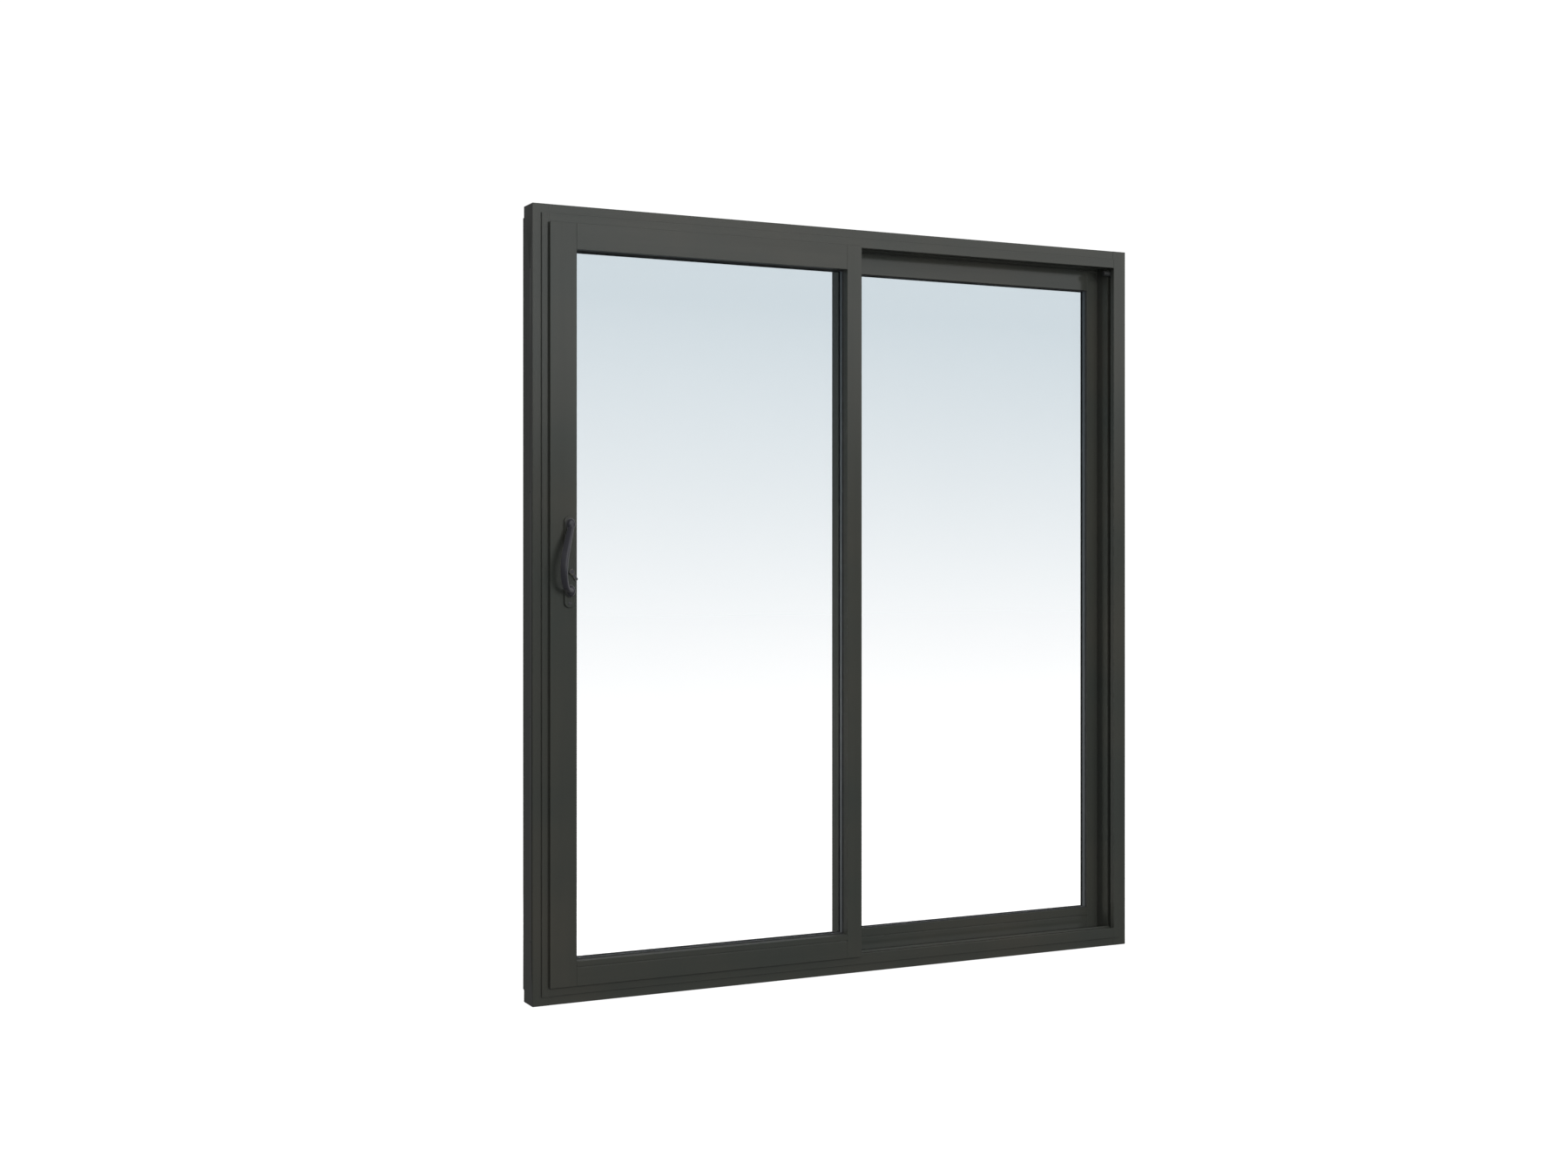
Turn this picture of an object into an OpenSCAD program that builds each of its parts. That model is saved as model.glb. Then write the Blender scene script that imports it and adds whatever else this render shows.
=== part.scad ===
// Two-panel sliding patio door in dark bronze: a square frame with a stepped face, a sliding
// panel that runs along the front of it, and a fixed panel set deep in the far half.
// X runs across the door, Y from the room side to the outside, Z up.
// The origin is the centre of the sill's underside.

/* [Frame] */
// Width across the outer rim
frame_w = 1816; // [1700:1:2450]
// Height from sill underside to head top
frame_h = 2019; // [1900:1:2450]
// Depth of the full-size front part
shell_d = 67; // [64:1:72]
// Thickness of the leg behind the fixed panel
rear_leg = 16; // [6:1:30]
// How far the rear part steps in from the rim
rear_inset = 18.5; // [16:0.5:24]
// Width of the set-back rim round the face
rim_w = 23; // [18:1:28]
// How far the face stands in front of the rim
face_step = 5; // [3:0.5:8]
// Thickness of each jamb
jamb_t = 43; // [40:1:48]
// Thickness of the head
head_t = 49; // [44:1:56]
// Height of the sill at its front edge
sill_t = 51; // [48:1:58]
// Fall of the sill towards the outside
sill_fall = 7; // [3:0.5:8]

/* [Guide channel] */
// Width of the channel in jambs and head
channel_w = 15; // [12:0.5:18]
// Depth of the channel in the jambs
jamb_channel_d = 14; // [5:0.5:16]
// Depth of the channel in the head
head_channel_d = 13; // [12:0.5:16]

/* [Sliding panel] */
// Whole thickness of the panel
slider_t = 65; // [60:1:66]
// Thickness of the lip that laps the frame
lip_t = 6; // [4:0.5:8]
// Width of the lip
lip_w = 12.5; // [12:0.5:15]
// Space between the lip and the face of the frame
lip_gap = 5; // [5:0.5:8]
// Space between the panel's body and the lock jamb
side_gap = 10.5; // [8:0.5:11]
// Space between the panel's body and the head
head_gap = 8.5; // [6:0.5:11]
// Space between the panel's body and the sill
sill_gap = 6.5; // [6:0.5:9]
// Width of the stile that carries the handle
lock_stile_w = 71; // [60:1:100]
// Width of the meeting stile
meeting_stile_w = 44; // [36:1:55]
// How far the meeting stile reaches past the centre
meeting_reach = 24; // [16:1:28]
// Height of the top rail
slider_top_rail_h = 67; // [60:1:110]
// Height of the bottom rail
slider_bottom_rail_h = 63; // [60:1:110]
// Depth of the glass behind the panel face
slider_glass_set = 28; // [20:1:36]
// Space left between the open panel and the far jamb
open_room = 26; // [20:1:200]

/* [Fixed panel] */
// Space between the bodies of the two panels
panel_gap = 29; // [24:1:40]
// Thickness of the lip behind the fixed glass
fixed_back_lip = 3; // [3:0.5:10]
// Width of the stile against the jamb
fixed_stile_w = 45; // [40:1:70]
// Height of the top rail
fixed_top_rail_h = 68; // [60:1:100]
// Height of the bottom rail
fixed_bottom_rail_h = 64; // [60:1:100]
// Depth of the glass behind the fixed panel's face
fixed_glass_set = 8; // [6:1:20]
// How far the fixed panel enters the jamb
fixed_lap = 9; // [6:0.5:12]
// How far it enters the head
head_lap = 10; // [6:0.5:12]
// How far it enters the sill
sill_lap = 7; // [5:0.5:10]

/* [Glass] */
// Thickness of one pane
pane_t = 4; // [3:0.5:5]
// Gap between the panes
pane_gap = 12; // [8:1:13]
// How far the panes enter the stiles and rails
glass_bite = 12; // [10:1:14]
// Thickness of each glazing gasket
gasket_t = 3; // [2:0.5:4]
// Depth of the line pressed into each bottom rail
rail_line_d = 2; // [0.5:0.5:3]

/* [Handle and lock] */
// Height of the handle's centre above the sill underside
handle_z = 1117; // [900:1:1250]
// Length of the handle plate
plate_l = 231; // [210:1:280]
// Width of the handle plate
plate_w = 28; // [24:1:32]
// Thickness of the handle plate
plate_t = 6; // [4:0.5:8]
// Distance between the grip's two posts
grip_span = 168; // [140:1:180]
// Height of the grip's middle above the middle of the plate
grip_up = 11; // [0:1:12]
// Thickness of the round grip
grip_d = 17; // [12:0.5:18]
// How far the grip bows away from its posts
grip_bow = 40; // [38:1:54]

/* [Rollers] */
// Diameter of a roller
wheel_d = 26; // [22:1:28]
// Width of a roller
wheel_w = 8; // [7:0.5:9]
// Distance from each end of the bottom rail to its roller
roller_in = 75; // [60:5:150]

/* [Hidden] */
$fn = 64;

// Frame planes
y0 = -shell_d / 2;                 // rim face
y_face = y0 - face_step;           // front face of the frame
y_step = y0 + shell_d;             // where the rear part begins
x_out = frame_w / 2;
x_in = x_out - jamb_t;             // inner side of the jambs
z_top = frame_h;
z_head = z_top - head_t;           // underside of the head

// Sliding panel planes
lip_y = y_face - lip_gap;          // back of the lip
sl_y0 = lip_y - lip_t;             // front face
sl_y1 = sl_y0 + slider_t;
body_x0 = -x_in + side_gap;
body_z0 = sill_t + sill_gap;
body_z1 = z_head - head_gap;
sl_x0 = body_x0 - lip_w;
sl_x1 = meeting_reach;
sl_z0 = body_z0 - lip_w;
sl_z1 = body_z1 + lip_w;
sl_open_x0 = sl_x0 + lock_stile_w;
sl_open_x1 = sl_x1 - meeting_stile_w;
sl_open_z0 = sl_z0 + slider_bottom_rail_h;
sl_open_z1 = sl_z1 - slider_top_rail_h;

// Guide channel, in line with the middle of the panel's body
chan_mid = (lip_y + sl_y1) / 2;
chan_y0 = chan_mid - channel_w / 2;
chan_y1 = chan_mid + channel_w / 2;

// Fixed panel planes
glass_t = 2 * pane_t + pane_gap;
fix_y0 = sl_y1 + panel_gap;
fix_glass_y = fix_y0 + fixed_glass_set;
fix_y1 = fix_glass_y + glass_t + gasket_t + fixed_back_lip;
y_rear = fix_y1 + rear_leg;
fix_x0 = 0;                        // the fixed meeting stile starts at the centre
fix_x1 = x_in + fixed_lap;
sill_back = sill_t - sill_fall;    // sill height where the fixed panel stands
sill_pocket = sill_back - sill_lap;
head_pocket = z_head + head_lap;
fix_open_x0 = fix_x0 + meeting_stile_w;
fix_open_x1 = fix_x1 - fixed_stile_w;
fix_open_z0 = sill_pocket + fixed_bottom_rail_h;
fix_open_z1 = head_pocket - fixed_top_rail_h;

// Glazing
groove_d = glass_bite + 2;
sl_glass_y = sl_y0 + slider_glass_set;
slider_line_z = 14;                // lines in the bottom rails, below the glass
fixed_line_z = 22;
rail_line_h = 3;

// Track and rollers
track_base_w = 14;
track_base_t = 2;
rib_w = 3;
rib_top = sill_t + 3;
wheel_groove = 1.5;
wheel_clear = 0.5;
axle_d = 6;
axle_z = rib_top + wheel_clear + wheel_d / 2 - wheel_groove;
roller_xs = [sl_open_x0 + roller_in, sl_open_x1 - roller_in];
wheel_room = 3;                    // space round the wheel in its case
case_wall = 4;
case_l = 86;
case_w = wheel_w + 5;
case_z1 = axle_z + wheel_d / 2 + wheel_room + case_wall;

// Installation screw holes in the jambs
screw_d = 5;
screw_end = 160;
screw_n = 4;
screw_pitch = (frame_h - 2 * screw_end) / (screw_n - 1);

// Handle
plate_edge = 7;                    // from the plate to the edge of the glass
handle_x = sl_open_x0 - plate_edge - plate_w / 2;
post_d = 19;
post_l = 12;
post_lean = 48;                    // the grip leans from straight out towards the jamb
grip_y = sl_y0 - plate_t - post_l;
grip_z = handle_z + grip_up;
latch_x = handle_x + 3;
latch_z = handle_z - 25;
latch_boss_d = 13;
latch_l = 22;
latch_w = 7;
latch_t = 5;
latch_boss_l = 8;
latch_gap = 0.5;
latch_rest = -35;                  // the lever hangs down and towards the glass
faceplate_l = 200;
faceplate_w = 22;
faceplate_t = 2;
keeper_l = 120;
keeper_t = 3;
pull_l = 180;
pull_w = 34;
pull_t = 4;
pull_fin = 16;
pull_edge = 8;                     // from the pull to the edge of the glass

// Interlock behind the sliding meeting stile
interlock_t = 4;
interlock_w = 15;
interlock_gap = 8;
pile_t = 4;
pile_w = 7;

// Guides, bumper
guide_l = 40;
guide_clear = 2;
guide_up = head_channel_d - 6;
bumper_d = 14;
bumper_gap = 5;
bumper_drop = 14;                  // from the underside of the head to its middle
bumper_z = frame_h - head_t - bumper_drop;

// Piece to draw

bronze = [0.24, 0.24, 0.22];
hardware = [0.23, 0.22, 0.24];
glass = [0.80, 0.88, 0.92, 0.35];
rubber = [0.06, 0.06, 0.06];
steel = [0.68, 0.68, 0.67];
nylon = [0.12, 0.12, 0.12];

// A box given by its limits on each axis
module span(x, y, z) {
    translate([x[0], y[0], z[0]])
        cube([x[1] - x[0], y[1] - y[0], z[1] - z[0]]);
}

// A bar across the door from a section drawn in Y and Z
module bar_x(x0, x1, points) {
    translate([x0, 0, 0])
        rotate([90, 0, 90])
            linear_extrude(height = x1 - x0)
                polygon(points);
}

// A flat ring round an opening, reaching outwards by w
module ring(x, z, y, w) {
    difference() {
        span([x[0] - w, x[1] + w], y, [z[0] - w, z[1] + w]);
        span(x, [y[0] - 1, y[1] + 1], z);
    }
}

function sill_top(y) = sill_t - sill_fall * (y - y_face) / (fix_y0 - y_face);

// ---- frame ----

module sill() {
    color(bronze)
        bar_x(-x_in, x_in, [
            [y0, 0],
            [y_step, 0],
            [y_step, rear_inset],
            [y_rear, rear_inset],
            [y_rear, sill_back],
            [fix_y1, sill_back],
            [fix_y1, sill_pocket],
            [fix_y0, sill_pocket],
            [fix_y0, sill_back],
            [y_face, sill_t],
            [y_face, rim_w],
            [y0, rim_w]
        ]);
}

module head() {
    color(bronze)
        bar_x(-x_in, x_in, [
            [y0, z_top],
            [y0, z_top - rim_w],
            [y_face, z_top - rim_w],
            [y_face, z_head],
            [chan_y0, z_head],
            [chan_y0, z_head + head_channel_d],
            [chan_y1, z_head + head_channel_d],
            [chan_y1, z_head],
            [fix_y0, z_head],
            [fix_y0, head_pocket],
            [fix_y1, head_pocket],
            [fix_y1, z_head],
            [y_rear, z_head],
            [y_rear, z_top - rear_inset],
            [y_step, z_top - rear_inset],
            [y_step, z_top]
        ]);
}

// Jamb on the left side; the right one is its mirror image
module jamb() {
    difference() {
        union() {
            span([-x_out, -x_in], [y0, y_step], [0, z_top]);
            span([-x_out + rear_inset, -x_in], [y_step, y_rear], [rear_inset, z_top - rear_inset]);
            span([-x_out + rim_w, -x_in], [y_face, y0], [rim_w, z_top - rim_w]);
        }
        // guide channel
        span([-x_in - jamb_channel_d, -x_in + 1], [chan_y0, chan_y1], [-1, z_top + 1]);
        // pocket for the rear panel
        span([-x_in - fixed_lap, -x_in + 1], [fix_y0, fix_y1], [sill_pocket, head_pocket]);
        // installation screws, one under another in the channel
        for (i = [0 : screw_n - 1])
            translate([-x_out - 1, chan_mid, screw_end + i * screw_pitch])
                rotate([0, 90, 0])
                    cylinder(d = screw_d, h = jamb_t + 2);
    }
}

module lock_jamb() {
    color(bronze)
        jamb();
}

module fixed_jamb() {
    color(bronze)
        mirror([1, 0, 0])
            jamb();
}

// Rail that the rollers run on, bedded on the sloping sill
module sill_track() {
    y_a = chan_mid - track_base_w / 2;
    y_b = chan_mid + track_base_w / 2;
    base_top = sill_top(y_a) + track_base_t;
    color(bronze) {
        bar_x(-x_in, x_in, [
            [y_a, sill_top(y_a)],
            [y_b, sill_top(y_b)],
            [y_b, base_top],
            [chan_mid + rib_w / 2, base_top],
            [chan_mid + rib_w / 2, rib_top - rib_w / 2],
            [chan_mid - rib_w / 2, rib_top - rib_w / 2],
            [chan_mid - rib_w / 2, base_top],
            [y_a, base_top]
        ]);
        translate([-x_in, chan_mid, rib_top - rib_w / 2])
            rotate([0, 90, 0])
                cylinder(d = rib_w, h = 2 * x_in);
    }
}

// Strike for the hook, in the channel of the lock jamb
module keeper() {
    slot_l = 44;
    slot_w = 8;
    x_k = -x_in - jamb_channel_d;
    color(steel)
        difference() {
            span([x_k, x_k + keeper_t], [chan_y0, chan_y1],
                 [handle_z - keeper_l / 2, handle_z + keeper_l / 2]);
            span([x_k - 1, x_k + keeper_t + 1], [chan_mid - slot_w / 2, chan_mid + slot_w / 2],
                 [handle_z - slot_l / 2, handle_z + slot_l / 2]);
        }
}

// Rubber stop the open panel comes up to
module open_bumper() {
    x_b = x_in - open_room + bumper_gap;
    color(rubber)
        translate([x_b, chan_mid, bumper_z])
            rotate([0, 90, 0])
                cylinder(d = bumper_d, h = x_in + jamb_channel_d - x_b);
}

// ---- fixed panel ----

module fixed_meeting_stile() {
    color(bronze)
        difference() {
            span([fix_x0, fix_open_x0], [fix_y0, fix_y1], [sill_pocket, head_pocket]);
            span([fix_open_x0 - groove_d, fix_open_x0 + 1],
                 [fix_glass_y - gasket_t, fix_glass_y + glass_t + gasket_t],
                 [fix_open_z0 - groove_d, fix_open_z1 + groove_d]);
        }
}

module fixed_jamb_stile() {
    color(bronze)
        difference() {
            span([fix_open_x1, fix_x1], [fix_y0, fix_y1], [sill_pocket, head_pocket]);
            span([fix_open_x1 - 1, fix_open_x1 + groove_d],
                 [fix_glass_y - gasket_t, fix_glass_y + glass_t + gasket_t],
                 [fix_open_z0 - groove_d, fix_open_z1 + groove_d]);
        }
}

module fixed_top_rail() {
    color(bronze)
        difference() {
            span([fix_open_x0, fix_open_x1], [fix_y0, fix_y1], [fix_open_z1, head_pocket]);
            span([fix_open_x0 - 1, fix_open_x1 + 1],
                 [fix_glass_y - gasket_t, fix_glass_y + glass_t + gasket_t],
                 [fix_open_z1 - 1, fix_open_z1 + groove_d]);
        }
}

module fixed_bottom_rail() {
    color(bronze)
        difference() {
            span([fix_open_x0, fix_open_x1], [fix_y0, fix_y1], [sill_pocket, fix_open_z0]);
            span([fix_open_x0 - 1, fix_open_x1 + 1],
                 [fix_glass_y - gasket_t, fix_glass_y + glass_t + gasket_t],
                 [fix_open_z0 - groove_d, fix_open_z0 + 1]);
            span([fix_open_x0 - 1, fix_open_x1 + 1], [fix_y0 - 1, fix_y0 + rail_line_d],
                 [fix_open_z0 - fixed_line_z - rail_line_h, fix_open_z0 - fixed_line_z]);
        }
}

// One pane, reaching into the grooves on every side
module pane(x, z, y) {
    span([x[0] - glass_bite, x[1] + glass_bite], [y, y + pane_t],
         [z[0] - glass_bite, z[1] + glass_bite]);
}

fix_x = [fix_open_x0, fix_open_x1];
fix_z = [fix_open_z0, fix_open_z1];
sl_x = [sl_open_x0, sl_open_x1];
sl_z = [sl_open_z0, sl_open_z1];

module fixed_inner_pane() {
    color(glass)
        pane(fix_x, fix_z, fix_glass_y);
}

module fixed_outer_pane() {
    color(glass)
        pane(fix_x, fix_z, fix_glass_y + pane_t + pane_gap);
}

module fixed_spacer() {
    color(rubber)
        ring(fix_x, fix_z, [fix_glass_y + pane_t, fix_glass_y + pane_t + pane_gap], glass_bite);
}

module fixed_inner_gasket() {
    color(rubber)
        ring(fix_x, fix_z, [fix_glass_y - gasket_t, fix_glass_y], glass_bite);
}

module fixed_outer_gasket() {
    color(rubber)
        ring(fix_x, fix_z, [fix_glass_y + glass_t, fix_glass_y + glass_t + gasket_t], glass_bite);
}

// ---- sliding panel ----

// Groove for the glass of the sliding panel
module slider_groove() {
    ring_y = [sl_glass_y - gasket_t, sl_glass_y + glass_t + gasket_t];
    span([sl_x[0] - groove_d, sl_x[1] + groove_d], ring_y, [sl_z[0] - groove_d, sl_z[1] + groove_d]);
}

module slider_lock_stile() {
    color(bronze)
        difference() {
            union() {
                span([sl_x0, sl_open_x0], [sl_y0, lip_y], [sl_z0, sl_z1]);
                span([body_x0, sl_open_x0], [lip_y, sl_y1], [body_z0, body_z1]);
            }
            slider_groove();
        }
}

module slider_meeting_stile() {
    color(bronze)
        difference() {
            union() {
                span([sl_open_x1, sl_x1], [sl_y0, lip_y], [sl_z0, sl_z1]);
                span([sl_open_x1, sl_x1], [lip_y, sl_y1], [body_z0, body_z1]);
            }
            slider_groove();
        }
}

module slider_top_rail() {
    color(bronze)
        difference() {
            union() {
                span(sl_x, [sl_y0, lip_y], [sl_open_z1, sl_z1]);
                span(sl_x, [lip_y, sl_y1], [sl_open_z1, body_z1]);
            }
            slider_groove();
        }
}

module slider_bottom_rail() {
    color(bronze)
        difference() {
            union() {
                span(sl_x, [sl_y0, lip_y], [sl_z0, sl_open_z0]);
                span(sl_x, [lip_y, sl_y1], [body_z0, sl_open_z0]);
            }
            slider_groove();
            span([sl_x[0] - 1, sl_x[1] + 1], [sl_y0 - 1, sl_y0 + rail_line_d],
                 [sl_open_z0 - slider_line_z - rail_line_h, sl_open_z0 - slider_line_z]);
            for (x = roller_xs)
                span([x - case_l / 2, x + case_l / 2],
                     [chan_mid - case_w / 2, chan_mid + case_w / 2],
                     [body_z0 - 1, case_z1]);
        }
}

module slider_inner_pane() {
    color(glass)
        pane(sl_x, sl_z, sl_glass_y);
}

module slider_outer_pane() {
    color(glass)
        pane(sl_x, sl_z, sl_glass_y + pane_t + pane_gap);
}

module slider_spacer() {
    color(rubber)
        ring(sl_x, sl_z, [sl_glass_y + pane_t, sl_glass_y + pane_t + pane_gap], glass_bite);
}

module slider_inner_gasket() {
    color(rubber)
        ring(sl_x, sl_z, [sl_glass_y - gasket_t, sl_glass_y], glass_bite);
}

module slider_outer_gasket() {
    color(rubber)
        ring(sl_x, sl_z, [sl_glass_y + glass_t, sl_glass_y + glass_t + gasket_t], glass_bite);
}

// Angle that closes the space between the two meeting stiles
inter_y1 = fix_y0 - interlock_gap;

module slider_interlock() {
    color(bronze) {
        span([sl_x1 - interlock_t, sl_x1], [sl_y1, inter_y1], [body_z0, body_z1]);
        span([sl_x1 - interlock_w, sl_x1 - interlock_t], [inter_y1 - interlock_t, inter_y1],
             [body_z0, body_z1]);
    }
}

module interlock_pile() {
    color(rubber)
        span([sl_x1 - interlock_w, sl_x1 - interlock_w + pile_w], [inter_y1, inter_y1 + pile_t],
             [body_z0, body_z1]);
}

// Roller case with its axle, let into the underside of the bottom rail
module roller_housing(x) {
    color(steel) {
        difference() {
            span([x - case_l / 2, x + case_l / 2],
                 [chan_mid - case_w / 2, chan_mid + case_w / 2],
                 [body_z0, case_z1]);
            span([x - wheel_d / 2 - wheel_room, x + wheel_d / 2 + wheel_room],
                 [chan_mid - wheel_w / 2 - wheel_clear, chan_mid + wheel_w / 2 + wheel_clear],
                 [body_z0 - 1, case_z1 - case_wall]);
        }
        translate([x, chan_mid + case_w / 2 - 1, axle_z])
            rotate([90, 0, 0])
                cylinder(d = axle_d, h = case_w - 2);
    }
}

// Grooved wheel
module roller(x) {
    color(nylon)
        translate([x, chan_mid, axle_z])
            rotate([90, 0, 0])
                rotate_extrude()
                    polygon([
                        [axle_d / 2, -wheel_w / 2],
                        [wheel_d / 2, -wheel_w / 2],
                        [wheel_d / 2, -rib_w / 2 - 2 * wheel_clear],
                        [wheel_d / 2 - wheel_groove, -rib_w / 2 - wheel_clear],
                        [wheel_d / 2 - wheel_groove, rib_w / 2 + wheel_clear],
                        [wheel_d / 2, rib_w / 2 + 2 * wheel_clear],
                        [wheel_d / 2, wheel_w / 2],
                        [axle_d / 2, wheel_w / 2]
                    ]);
}

module lock_side_roller_housing() {
    roller_housing(roller_xs[0]);
}

module lock_side_roller() {
    roller(roller_xs[0]);
}

module meeting_side_roller_housing() {
    roller_housing(roller_xs[1]);
}

module meeting_side_roller() {
    roller(roller_xs[1]);
}

// Nylon block that runs in the head's channel
module top_guide(x) {
    color(nylon)
        span([x - guide_l / 2, x + guide_l / 2],
             [chan_y0 + guide_clear, chan_y1 - guide_clear],
             [body_z1, z_head + guide_up]);
}

module lock_side_top_guide() {
    top_guide(roller_xs[0]);
}

module meeting_side_top_guide() {
    top_guide(roller_xs[1]);
}

// Plate of the lock on the closing edge, with the hook's slot
module lock_faceplate() {
    slot_l = 40;
    slot_w = 7;
    color(steel)
        difference() {
            span([body_x0 - faceplate_t, body_x0],
                 [chan_mid - faceplate_w / 2, chan_mid + faceplate_w / 2],
                 [handle_z - faceplate_l / 2, handle_z + faceplate_l / 2]);
            span([body_x0 - faceplate_t - 1, body_x0 + 1],
                 [chan_mid - slot_w / 2, chan_mid + slot_w / 2],
                 [handle_z - slot_l / 2, handle_z + slot_l / 2]);
        }
}

// A round pin standing out from the panel face
module stud(x, z, d, y_from, y_to) {
    translate([x, y_to, z])
        rotate([90, 0, 0])
            cylinder(d = d, h = y_to - y_from);
}

// Round-ended plate on the face of the lock stile
module inside_handle_plate() {
    end_z = plate_l / 2 - plate_w / 2;
    color(hardware) {
        span([handle_x - plate_w / 2, handle_x + plate_w / 2], [sl_y0 - plate_t, sl_y0],
             [handle_z - end_z, handle_z + end_z]);
        for (s = [-1, 1])
            stud(handle_x, handle_z + s * end_z, plate_w, sl_y0 - plate_t, sl_y0);
    }
}

// Two posts and a round bar bowed out into the room and towards the jamb
module inside_grip() {
    bow_r = (grip_span * grip_span / 4 + grip_bow * grip_bow) / (2 * grip_bow);
    half = asin(grip_span / 2 / bow_r);
    color(hardware) {
        for (s = [-1, 1])
            stud(handle_x, grip_z + s * grip_span / 2, post_d, grip_y - grip_d / 2,
                 sl_y0 - plate_t);
        translate([handle_x, grip_y, grip_z])
            rotate([0, 0, -90 - post_lean])
                rotate([90, 0, 0])
                    translate([grip_bow - bow_r, 0, 0])
                        rotate([0, 0, -half])
                            rotate_extrude(angle = 2 * half)
                                translate([bow_r, 0])
                                    circle(d = grip_d);
    }
}

// Finger pull on the outside face
module outside_pull() {
    x_a = sl_open_x0 - pull_edge - pull_w;
    color(hardware) {
        span([x_a, x_a + pull_w], [sl_y1, sl_y1 + pull_t],
             [handle_z - pull_l / 2, handle_z + pull_l / 2]);
        span([x_a + pull_w - pull_t, x_a + pull_w], [sl_y1 + pull_t, sl_y1 + pull_t + pull_fin],
             [handle_z - pull_l / 2, handle_z + pull_l / 2]);
    }
}

// Lever that turns the hook, drawn locked
module thumb_latch() {
    y_b = sl_y0 - plate_t - latch_gap;
    color(hardware) {
        stud(latch_x, latch_z, latch_boss_d, y_b - latch_boss_l, y_b);
        translate([latch_x, y_b - latch_t, latch_z])
            rotate([0, latch_rest + 90, 0]) {
                translate([0, 0, -latch_w / 2])
                    cube([latch_l, latch_t, latch_w]);
                translate([latch_l, latch_t, 0])
                    rotate([90, 0, 0])
                        cylinder(d = latch_w, h = latch_t);
            }
    }
}

sill();
head();
lock_jamb();
fixed_jamb();
sill_track();
keeper();
open_bumper();
fixed_meeting_stile();
fixed_jamb_stile();
fixed_top_rail();
fixed_bottom_rail();
fixed_inner_pane();
fixed_outer_pane();
fixed_spacer();
fixed_inner_gasket();
fixed_outer_gasket();
slider_lock_stile();
slider_meeting_stile();
slider_top_rail();
slider_bottom_rail();
slider_inner_pane();
slider_outer_pane();
slider_spacer();
slider_inner_gasket();
slider_outer_gasket();
slider_interlock();
interlock_pile();
lock_side_roller_housing();
lock_side_roller();
meeting_side_roller_housing();
meeting_side_roller();
lock_side_top_guide();
meeting_side_top_guide();
lock_faceplate();
inside_handle_plate();
inside_grip();
outside_pull();
thumb_latch();
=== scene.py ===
"""A two-panel sliding patio door in dark bronze, seen from the room side."""

import math
import random

import bmesh
import bpy
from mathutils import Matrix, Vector


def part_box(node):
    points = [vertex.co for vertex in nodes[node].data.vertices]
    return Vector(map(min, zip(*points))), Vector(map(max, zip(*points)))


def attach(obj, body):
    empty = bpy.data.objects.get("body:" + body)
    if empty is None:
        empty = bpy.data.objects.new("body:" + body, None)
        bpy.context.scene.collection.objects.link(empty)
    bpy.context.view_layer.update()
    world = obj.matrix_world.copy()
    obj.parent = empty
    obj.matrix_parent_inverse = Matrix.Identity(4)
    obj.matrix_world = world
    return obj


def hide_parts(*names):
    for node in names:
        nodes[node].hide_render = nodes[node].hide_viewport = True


MM = 0.001
RANGE_SOCKETS = ("From Min", "From Max", "To Min", "To Max")

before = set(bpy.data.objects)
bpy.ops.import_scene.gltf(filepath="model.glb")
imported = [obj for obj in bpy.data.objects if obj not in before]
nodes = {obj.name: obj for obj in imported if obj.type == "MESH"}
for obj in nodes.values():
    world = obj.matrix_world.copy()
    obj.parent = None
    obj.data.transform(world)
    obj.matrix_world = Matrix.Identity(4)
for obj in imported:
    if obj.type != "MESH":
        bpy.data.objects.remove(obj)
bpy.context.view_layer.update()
rng = random.Random(7)


# ---- materials ----------------------------------------------------------------------------

# How far a rounded normal has turned from the face's, as a cosine, where the paler worn edges
# start and are full; these edges are partly wear and partly a painted edge highlight
EDGE_STARTS, EDGE_FULL, BEVEL_SAMPLES = 0.985, 0.80, 4
WORN_EDGE_AND_HIGHLIGHT_RADIUS, FILM_ROUND, CAST_ROUND = 1.2 * MM, 0.7 * MM, 0.8 * MM


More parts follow.
